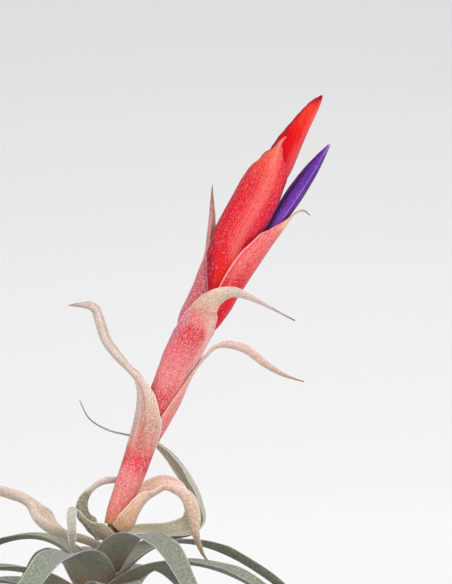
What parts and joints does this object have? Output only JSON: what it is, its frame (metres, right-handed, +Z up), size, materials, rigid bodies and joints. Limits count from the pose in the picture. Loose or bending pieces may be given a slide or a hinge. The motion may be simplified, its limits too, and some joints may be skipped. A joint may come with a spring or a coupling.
{
  "type": "air plant in flower",
  "caption": "Air plant with an arching silver-grey leaf rosette and a leaning spike of pink and red bracts that holds one violet flower; stands loose on its short stem and lowest leaves.",
  "frame": {"origin": "middle of the flat foot of the stem, on the surface that the plant rests on", "axes": "+Z up, +X towards the side to which the spike leans, -Y towards the usual viewer"},
  "size_m": [0.1947, 0.1881, 0.15],
  "materials": {
    "leaf": "matte, covered with fine silver-grey scales",
    "scape_bract": "matte, pink sheath with pale scales, cream blade",
    "floral_bract": "satin, red with fine pale scales",
    "petal": "soft satin, violet with pale edges",
    "sepal": "smooth satin, pale red",
    "stem": "matte, fibrous, dry brown at the foot",
    "filament": "smooth, cream"
  },
  "bodies": {
    "root": {"stem": "stem", "leaf_01": "leaf", "leaf_02": "leaf", "leaf_03": "leaf", "leaf_04": "leaf", "leaf_05": "leaf", "leaf_06": "leaf", "leaf_07": "leaf", "leaf_08": "leaf", "leaf_09": "leaf", "leaf_10": "leaf", "leaf_11": "leaf", "leaf_12": "leaf", "leaf_13": "leaf", "leaf_14": "leaf", "leaf_15": "leaf", "leaf_16": "leaf", "leaf_17": "leaf", "leaf_18": "leaf", "leaf_19": "leaf", "leaf_20": "leaf", "leaf_21": "leaf", "leaf_22": "leaf", "leaf_23": "leaf", "leaf_24": "leaf", "upper_leaf_green": "leaf", "upper_leaf_far_left": "leaf", "upper_leaf_left_arch": "leaf", "upper_leaf_front_left": "leaf", "upper_leaf_front_arch": "leaf", "scape_bract_left": "scape_bract", "scape_bract_right": "scape_bract", "scape_bract_front": "scape_bract", "floral_bract_right": "floral_bract", "floral_bract_front": "floral_bract", "floral_bract_back": "floral_bract", "floral_bract_top": "floral_bract", "petal_1": "petal", "petal_2": "petal", "petal_3": "petal", "sepal_1": "sepal", "sepal_2": "sepal", "sepal_3": "sepal", "stamen_1": "filament", "stamen_2": "filament", "stamen_3": "filament", "stamen_4": "filament", "stamen_5": "filament", "stamen_6": "filament", "pistil": "filament"}
  },
  "joints": []
}
